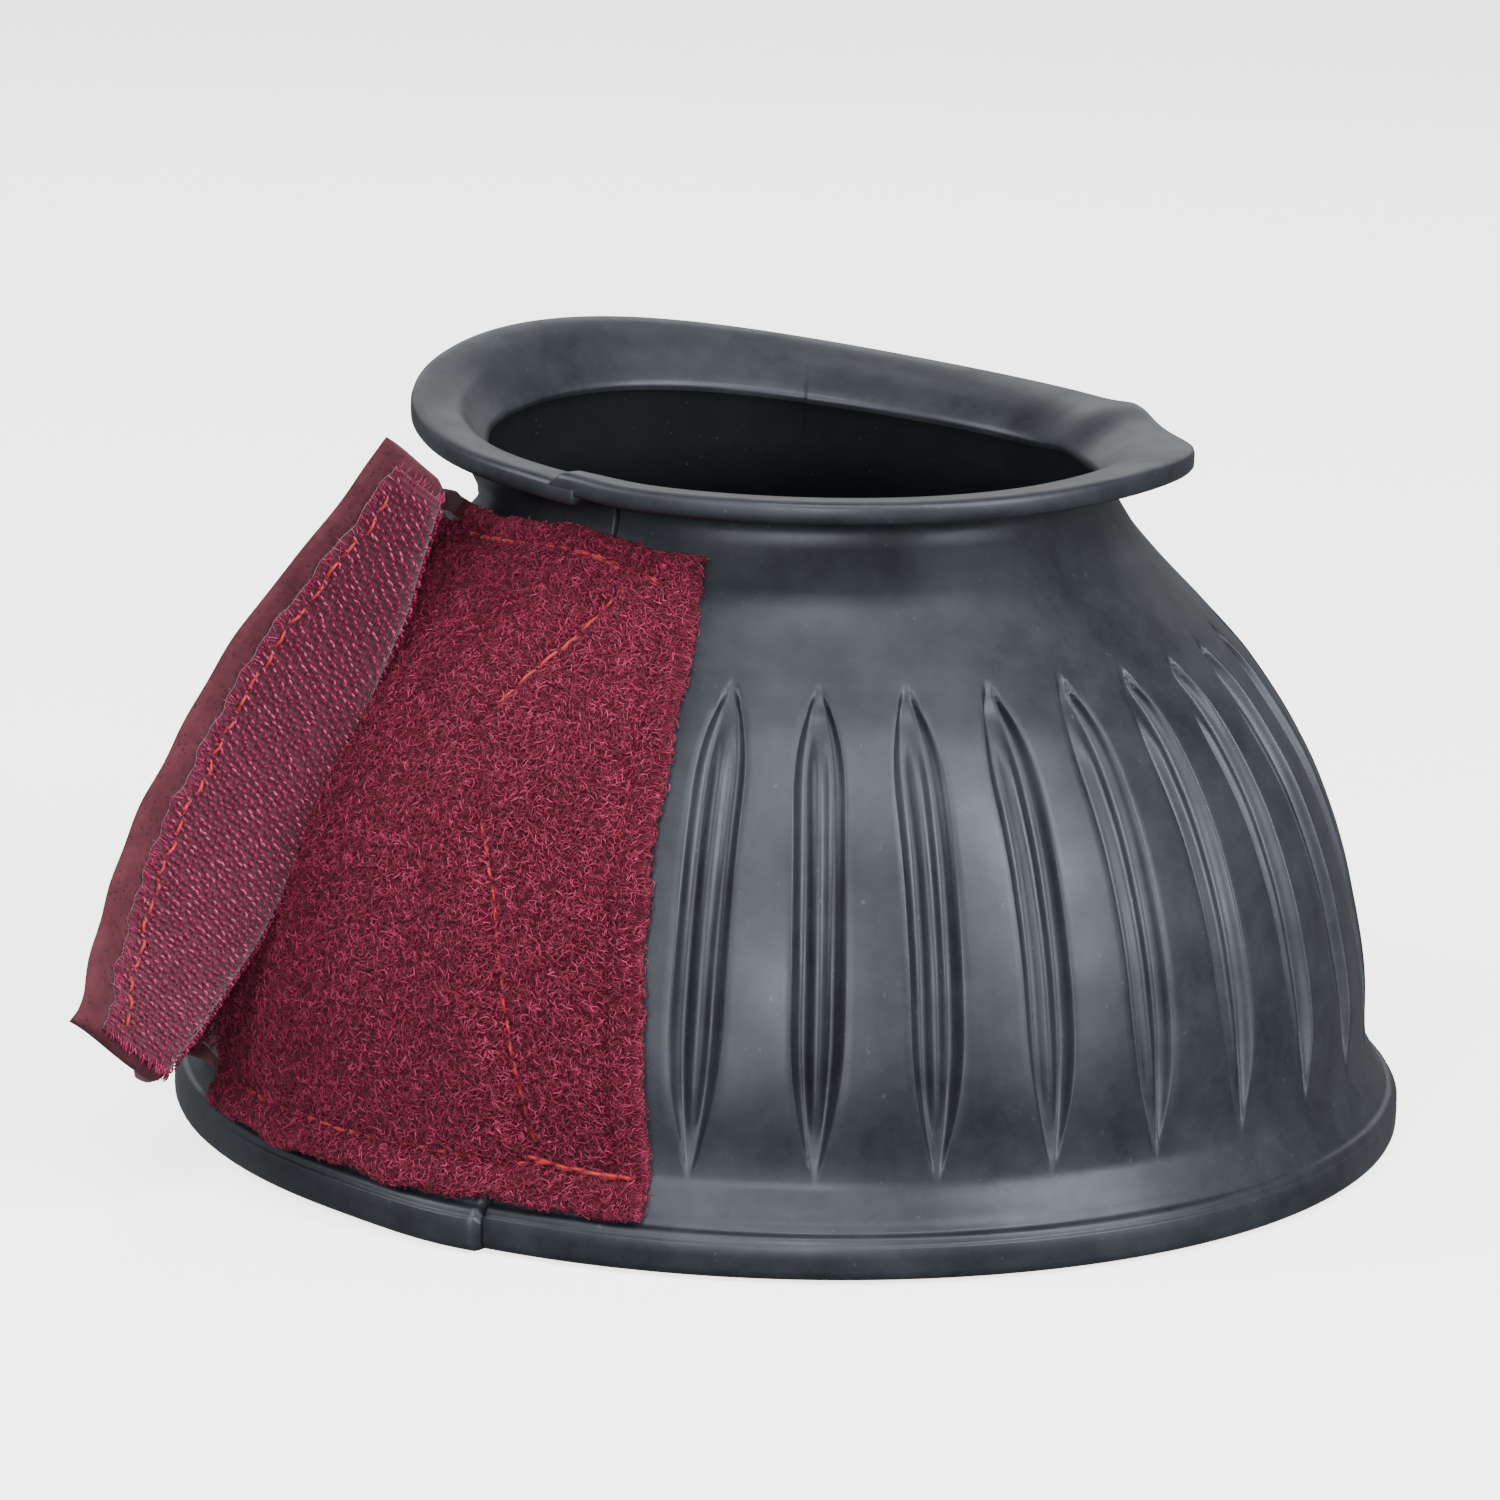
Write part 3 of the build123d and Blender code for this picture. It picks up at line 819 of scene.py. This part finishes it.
TACK_TOP = [(3.0, 92.8), (8.0, 91.9), (10.6, 88.9), (13.5, 91.2), (17.0, 90.0)]
TACK_BOTTOM = [(23.5, 14.4), (30.0, 13.4), (40.0, 12.9)]
felt_threads = [
    stitches("anchor_stitches", SEAM_ANCHOR, 3.1, 0.92, 0.24, over_felt, sink=0.02),
    stitches("bottom_stitches", SEAM_BOTTOM, 3.2, 0.8, 0.26, over_felt, sink=0.12),
    stitches("top_stitches", SEAM_TOP, 3.0, 0.9, 0.28, over_felt, sink=0.08),
    stitches("left_stitches", SEAM_LEFT, 2.8, 0.9, 0.3, over_felt, sink=-0.1),
    stitches("top_back_tack", TACK_TOP, 2.1, 1.15, 0.33, over_felt, sink=-0.2),
    stitches("bottom_back_tack", TACK_BOTTOM, 2.3, 1.1, 0.30, over_felt, sink=-0.1),
    stitches("right_stitches", SEAM_RIGHT, 3.2, 0.8, 0.22, over_felt, sink=0.34),
]

tab_joint = joints["tab_peel"]
tab_axis = np.array(tab_joint["axis"])
tab_origin = np.array(tab_joint["pos_m"])
tab_normal = unit(np.array([math.sin(math.radians(-25)), -math.cos(math.radians(-25)), 0.0]))
tab_along = unit(np.cross(tab_axis, tab_normal))
tab_along = tab_along * (-1 if tab_along[0] > 0 else 1)
for piece in (felt_tab, *felt_fibres, *felt_threads):
    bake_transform(piece)
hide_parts("tab_inner_loop", "tab_outer_loop", "tab_root_inner", "tab_root_outer")
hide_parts("anchor_stitching")
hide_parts("tab_edge_stitching")


# ---- hook tape on the shell's left end, under the tab
BASE_LEFT = [(-47.5, 12), (-45.0, 40), (-31.0, 91.5)]
BASE_RIGHT = [(12.5, 12), (7.5, 36), (3.0, 50), (-9.5, 69), (-4.5, 84), (-4.0, 91.5)]


def base_surface(u, v, out=0.55):
    height = tape_low + (tape_high - tape_low) * v
    left = along(BASE_LEFT, height)
    right = along(BASE_RIGHT, height)
    return on_skirt(across_to_azimuth(left + (right - left) * u, height, 0.6), height, out)


def bent_hooks(name, here, lean, normal, shape, stretch, radii):
    """Hooks bent to a shape of (along the lean, out) points."""
    paths = np.stack([
        here + lean * (x * stretch)[:, None] + normal * (z * stretch)[:, None] for x, z in shape
    ], 1)
    return strands(name, paths, unit(np.cross(lean, normal)), radii[None, :], hook_fibre)


def hooks(surface, across, up, pitch_across, pitch_up, size, name):
    """Rows of small bent hooks that stand on a tape and lean along its rows."""
    columns = int(across / pitch_across)
    rows = int(up / pitch_up)
    i, j = np.meshgrid(np.arange(columns), np.arange(rows))
    u = (i + 0.5 + 0.5 * (j % 2)) / columns + random.normal(0, 0.012, i.shape) * pitch_across / 4
    v = (j + 0.5) / rows
    u = u.ravel()
    v = v.ravel() + random.normal(0, 0.0012, u.shape)
    keep = (u > 0.01) & (u < 0.99) & (v > 0.01) & (v < 0.99)
    u = u[keep]
    v = v[keep]
    here, ahead, above, normal = surface_frame(surface, u, v)
    lean = ahead * math.cos(0.5) + above * math.sin(0.5)
    sway = random.normal(0, 0.2, (len(u), 1))
    nod = random.normal(0, 0.25, (len(u), 1))
    lean = unit(lean + ahead * sway + above * nod)
    shape = [(-0.45, -0.1), (-0.42, 0.5), (-0.12, 1.0), (0.38, 0.92), (0.62, 0.45), (0.52, 0.22)]
    stretch = size * random.uniform(0.85, 1.2, len(u))
    radii = np.array([0.12, 0.12, 0.14, 0.14, 0.12, 0.08]) * size
    return bent_hooks(name, here, lean, normal, shape, stretch, radii)


def make_base_tape():
    u, v = grid_uv(50, 60)
    top = base_surface(u, v, 0.6)
    bottom = base_surface(u, v, 0.05)
    return slab("base_tape", top, bottom, hook_ground, np.stack([u * 52, v * 80], -1))


base_tape = make_base_tape()
base_hooks = hooks(base_surface, 46, 79, 1.5, 1.6, 0.85, "base_hooks")


def over_base(x, y, out):
    return on_skirt(across_to_azimuth(x, y, 0.6), y, 0.75 + out)


base_outline = [
    (-44.8, 14), (10.2, 14), (5.4, 36), (0.9, 50), (-11.5, 69), (-6.5, 84), (-6.0, 89.5),
    (-29.0, 89.5), (-42.6, 40), (-44.8, 14),
]
base_threads = stitches("base_stitches", base_outline, 3.2, 0.8, 0.25, over_base)
for piece in (base_tape, base_hooks, base_threads):
    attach(piece, "shell")
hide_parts("base_hook_tape")
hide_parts("base_stitching")


# ---- outer flap: hook tape on a backing strip, folded open
FLAP_LOW = 10.0
FLAP_HIGH = 95.0
FLAP_OUT = 6.6
SPINE = -74.0
ROOT_EDGE = -64.6
FLAP_COLUMNS = 110
FLAP_ROWS = 96
HEAD_RISE = 1.9        # how much higher the flap's upper end stands at its roll
CORNER_RISE = 3.2      # how far its lower corner is rounded off
CORNER_TUCK = 1.7      # and drawn in to the right
RIGID_FROM = -46.0
FLAP_TIP = -37.3
OPEN_ANGLE = 100.0


def limb_x(height):
    """How far left the fold's roll is seen, at a height."""
    return -100.5 + 0.691 * height - 0.00202 * height ** 2


def b_spline(controls, samples):
    """Smooth line near a list of control points, through its first and last."""
    points = np.array([controls[0], controls[0], *controls, controls[-1], controls[-1]])
    spans = len(points) - 3
    out = []
    for n in range(samples):
        t = n / (samples - 1) * spans
        i = min(int(t), spans - 1)
        f = t - i
        p = points[i:i + 4]
        out.append(
            ((1 - f) ** 3 * p[0] + (3 * f ** 3 - 6 * f ** 2 + 4) * p[1]
             + (-3 * f ** 3 + 3 * f ** 2 + 3 * f + 1) * p[2] + f ** 3 * p[3]) / 6
        )
    return np.array(out)


def even_line(points, samples):
    """Evenly spaced points along a line."""
    steps = np.linalg.norm(np.diff(points, axis=0), axis=1)
    place = np.concatenate([[0], np.cumsum(steps)])
    at = np.linspace(0, place[-1], samples)
    return np.stack([np.interp(at, place, points[:, k]) for k in range(3)], -1)


def flap_section(height, tip_azimuth):
    """Line of the flap at one height: root strip, spine, web, roll and free part."""
    free_azimuths = np.linspace(RIGID_FROM, tip_azimuth, 12)
    free = turned(on_skirt(free_azimuths, height, FLAP_OUT), "flap_fold", -OPEN_ANGLE)
    heading = unit(free[0] - free[1])
    reach = max((limb_x(height) - free[0][0]) / max(heading[0], 0.3) + 1.5, 2.0)
    corner = free[0] + heading * reach
    root = [on_skirt(a, height, 1.2) for a in np.linspace(ROOT_EDGE, SPINE + 1.5, 5)]
    spine = [on_skirt(SPINE - 0.4, height, 1.9), on_skirt(SPINE - 0.4, height, 4.2)]
    spine_radius = math.hypot(spine[1][0], spine[1][1])
    corner_azimuth = math.degrees(math.atan2(corner[0], -corner[1]))
    corner_radius = math.hypot(corner[0], corner[1])
    web = []
    for share in (0.12, 0.34, 0.56, 0.78):
        azimuth = SPINE + share * (corner_azimuth - SPINE)
        radius = spine_radius + ease(share) * (corner_radius - spine_radius)
        least = skirt_radius(height) + 4.4 + 2.6 * ease((azimuth + 70) / 6)
        level = spine[1][2] + share * (corner[2] - spine[1][2])
        web.append(polar(azimuth, max(radius, least), level))
    bends = [*root, *spine, *web, corner, free[0] + heading * 0.5, free[1]]
    controls = [np.ravel(p) for p in bends]
    line = b_spline(controls, 90)
    near = int(np.argmin(np.linalg.norm(line - free[1], axis=1)))
    return even_line(np.concatenate([line[:near], free[1:]]), FLAP_COLUMNS)


def flap_grid():
    rows = []
    for n in range(FLAP_ROWS):
        v = n / (FLAP_ROWS - 1)
        height = FLAP_LOW + (FLAP_HIGH - FLAP_LOW) * v
        wobble = 0.16 * math.sin(v * 21) + 0.10 * math.sin(v * 47 + 1)
        rows.append(flap_section(height, FLAP_TIP + wobble))
    grid = np.array(rows)
    share, v = np.meshgrid(np.linspace(0, 1, FLAP_COLUMNS), np.linspace(0, 1, FLAP_ROWS))
    roll = np.argmin(grid[FLAP_ROWS // 6, :, 0]) / (FLAP_COLUMNS - 1)
    # its upper end stands higher at the roll, its lower corner is rounded off
    grid[:, :, 2] += HEAD_RISE * ease((share - roll + 0.22) / 0.2) * v ** 6
    grid[:, :, 2] += CORNER_RISE * bump(share, roll, 0.09) * (1 - v) ** 9
    grid[:, :, 0] += CORNER_TUCK * bump(share, roll, 0.3) * (1 - ease(v / 0.28))
    return grid


flap_middle = flap_grid()
row_steps = np.linalg.norm(np.diff(flap_middle, axis=1), axis=2)
flap_across = np.concatenate([np.zeros((FLAP_ROWS, 1)), np.cumsum(row_steps, axis=1)], 1)


def grid_normals(points):
    across = np.gradient(points, axis=1)
    up = np.gradient(points, axis=0)
    return unit(np.cross(across, up))


flap_normal = grid_normals(flap_middle)
# the hook side is the right-hand side of the open flap, which faces the front
facing = flap_normal[FLAP_ROWS // 2, -10] @ np.array([0.3, -1.0, 0.2])
hook_side = flap_normal * (1 if facing > 0 else -1)


def sample_grid(points, u, v):
    """Bilinear lookup in a grid of points."""
    rows, columns = points.shape[:2]
    x = np.clip(u, 0, 1) * (columns - 1)
    y = np.clip(v, 0, 1) * (rows - 1)
    i = np.clip(x.astype(int), 0, columns - 2)
    j = np.clip(y.astype(int), 0, rows - 2)
    fx = (x - i)[..., None]
    fy = (y - j)[..., None]
    return (
        points[j, i] * (1 - fx) * (1 - fy) + points[j, i + 1] * fx * (1 - fy)
        + points[j + 1, i] * (1 - fx) * fy + points[j + 1, i + 1] * fx * fy
    )


TAPE_END = 0.945       # the hook tape stops short of the backing's free edge
TAPE_FOOT = 0.025
TAPE_HEAD = 0.965
HOOK_PITCH = 0.95
HOOK_ROW_PITCH = 1.15
HOOK_SIZE = 0.70


def flap_layer(u, v, out):
    """Points set off from the flap's middle surface towards its hook side."""
    points = sample_grid(flap_middle, u, v)
    normals = unit(sample_grid(hook_side, u, v))
    return points + normals * np.asarray(out)[..., None]


def make_backing():
    u, v = np.meshgrid(np.linspace(0, 1, FLAP_COLUMNS), np.linspace(0, 1, FLAP_ROWS))
    edge = np.minimum((1 - u) * flap_across[:, -1].mean(), np.minimum(v, 1 - v) * 84)
    rounded = np.sqrt(np.clip(1 - (1 - np.clip(edge / 1.1, 0, 1)) ** 2, 0, 1))
    border = 0.25 * ease((u - TAPE_END) / 0.02) * rounded
    front = flap_layer(u, v, border - 0.9 * (1 - rounded))
    back = flap_layer(u, v, -1.1 - 0.9 * rounded)
    return slab("flap_backing_strip", front, back, backing, np.stack([flap_across, v * 84], -1))


def tape_uv(s, t):
    """Tape coordinates to flap coordinates."""
    ragged = 0.004 * np.sin(t * 61) + 0.003 * np.sin(t * 143 + 1)
    return s * (TAPE_END + ragged), TAPE_FOOT + (TAPE_HEAD - TAPE_FOOT) * t


def make_tape():
    s, t = np.meshgrid(np.linspace(0, 1, FLAP_COLUMNS), np.linspace(0, 1, FLAP_ROWS))
    u, v = tape_uv(s, t)
    front = flap_layer(u, v, np.full_like(u, 0.6))
    back = flap_layer(u, v, np.full_like(u, 0.05))
    return slab("flap_tape", front, back, hook_ground, np.stack([flap_across, v * 84], -1))


def tape_surface(s, t):
    u, v = tape_uv(s, t)
    return flap_layer(u, v, np.full_like(u, 0.55))


flap_backing = make_backing()
flap_tape = make_tape()
flap_width = float(flap_across[:, -1].mean())


def tape_frame(s, t):
    """Points, tangents and normals on the flap's tape."""
    here = tape_surface(s, t)
    ahead = unit(tape_surface(s + 0.004, t) - tape_surface(s - 0.004, t))
    above = unit(tape_surface(s, t + 0.004) - tape_surface(s, t - 0.004))
    u, v = tape_uv(s, t)
    return here, ahead, above, unit(sample_grid(hook_side, u, v))


def hook_field(name):
    """The flap's hooks, in rows that rise to the right."""
    columns = int(flap_width * TAPE_END / HOOK_PITCH)
    rows = int(80 / HOOK_ROW_PITCH)
    i, j = np.meshgrid(np.arange(columns), np.arange(-14, rows + 14))
    s = (i + 0.5 + 0.5 * (j % 2)) / columns
    t = (j + 0.5) / rows + (s - 0.85) * 0.34 * flap_width / 80
    s = s.ravel() + random.normal(0, 0.003, s.size)
    t = t.ravel() + random.normal(0, 0.0015, t.size)
    keep = (s > 0.005) & (s < 0.985) & (t > 0.01) & (t < 0.99)
    s = s[keep]
    t = t[keep]
    here, ahead, above, normal = tape_frame(s, t)
    sway = random.normal(0, 0.2, (len(s), 1))
    nod = random.normal(0, 0.2, (len(s), 1))
    lean = unit(ahead * (sway - 0.85) + above * (nod - 0.5))
    shape = [(-0.45, -0.1), (-0.42, 0.45), (-0.12, 0.85), (0.38, 0.8), (0.66, 0.42), (0.56, 0.2)]
    stretch = HOOK_SIZE * random.uniform(0.85, 1.2, len(s))
    radii = np.array([0.14, 0.15, 0.17, 0.17, 0.15, 0.08])
    return bent_hooks(name, here, lean, normal, shape, stretch, radii)


def frayed_edge(name):
    """Filaments combed out of the tape's free edge and its ends."""
    count = 620
    t = random.uniform(0.0, 1.0, count)
    s = np.full(count, 0.985) + random.normal(0, 0.004, count)
    ends = random.uniform(0, 1, count) < 0.4
    s = np.where(ends, random.uniform(0.55, 1.0, count), s)
    t = np.where(ends, np.where(random.uniform(0, 1, count) < 0.7, 0.003, 0.997), t)
    here, ahead, above, normal = tape_frame(s, t)
    out = np.where(ends[:, None], above * np.where(t < 0.5, -1, 1)[:, None], ahead)
    up_sway = random.normal(0.25, 0.3, (count, 1))
    side_sway = random.normal(0, 0.25, (count, 1))
    out = unit(out + above * up_sway + ahead * side_sway)
    length = random.uniform(0.9, 2.2, count)
    rise = random.uniform(-0.1, 0.35, count)
    paths = np.stack([
        here + out * (k * length)[:, None] + normal * (rise * math.sin(k * 3) + 0.1)[:, None]
        for k in (-0.5, 0.0, 0.5, 1.0)
    ], 1)
    return strands(name, paths, normal, np.full((count, 1), 0.085), hook_fibre)


flap_hooks = hook_field("flap_hooks")
flap_fray = frayed_edge("flap_frayed_edge")


def over_tape(x, y, out):
    """x is the tape's share across, y the height up it in millimetres."""
    u, v = tape_uv(x, y / 80)
    return flap_layer(u, v, 0.75 + out)


flap_threads = stitches(
    "flap_stitches", [(0.965, 2.0), (0.968, 40.0), (0.965, 78.0)], 2.9, 0.85, 0.24, over_tape,
    sink=0.0, jitter=0.002,
)
flap_root_threads = stitches(
    "flap_root_stitches", [(0.055, 2.0), (0.055, 78.0)], 2.9, 0.85, 0.24, over_tape,
    sink=0.0, jitter=0.002,
)

for piece in (flap_backing, flap_tape, flap_hooks, flap_fray, flap_threads, flap_root_threads):
    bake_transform(piece)
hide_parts("flap_backing", "flap_root")
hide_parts("flap_hook_tape")
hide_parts("flap_stitching")


# ---- floor, lights
FLOOR_HALF = 6.0
# name, azimuth, height angle, distance, size across and up, power
SOFTBOXES = [
    ("right_softbox", 56, 32, 1.3, (0.34, 1.1), 25),
    ("left_strip", -21, 26, 1.3, (0.20, 1.0), 8),
    ("left_softbox", -80, 32, 1.3, (0.5, 0.7), 12),
    ("front_softbox", 4, 60, 1.3, (0.45, 0.25), 9),
    ("low_front_softbox", 2, 14, 1.3, (0.18, 0.18), 9),
    ("top_softbox", 175, 60, 1.3, (0.7, 0.4), 2),
    ("back_softbox", 180, 20, 1.4, (1.5, 0.4), 3),
]


def add_floor():
    """Pale floor that glows like a light table and stays out of the object's own reflections."""
    mesh = bpy.data.meshes.new("floor")
    corners = [(x * FLOOR_HALF, y * FLOOR_HALF, 0) for x, y in ((-1, -1), (1, -1), (1, 1), (-1, 1))]
    mesh.from_pydata(corners, [], [(0, 1, 2, 3)])
    material, _, shader = new_material("floor_white", (0.92, 0.92, 0.92), 0.9)
    set_inputs(shader, {"Specular IOR Level": 0.0, "Emission Color": (1, 1, 1, 1), "Emission Strength": 2.6})
    mesh.materials.append(material)
    floor = bpy.data.objects.new("floor", mesh)
    floor.location.z = -0.0005
    floor.visible_diffuse = False
    floor.visible_glossy = False
    bpy.context.scene.collection.objects.link(floor)


def add_light(name, azimuth, rise, distance, size, power):
    """A softbox at an azimuth and a height angle, aimed at the boot."""
    data = bpy.data.lights.new(name, "AREA")
    data.shape = "RECTANGLE"
    data.size, data.size_y = size
    data.energy = power
    light = bpy.data.objects.new(name, data)
    turn = math.radians(azimuth)
    up = math.radians(rise)
    back = Vector((math.sin(turn) * math.cos(up), -math.cos(turn) * math.cos(up), math.sin(up)))
    light.location = AIM + back * distance
    light.rotation_euler = (-back).to_track_quat("-Z", "Y").to_euler()
    light.visible_camera = False
    bpy.context.scene.collection.objects.link(light)


add_floor()
for softbox in SOFTBOXES:
    add_light(*softbox)
world = bpy.data.worlds.new("studio")
world.use_nodes = True
set_inputs(world.node_tree.nodes["Background"], {"Color": (0.95, 0.98, 1, 1), "Strength": 0.30})
bpy.context.scene.world = world
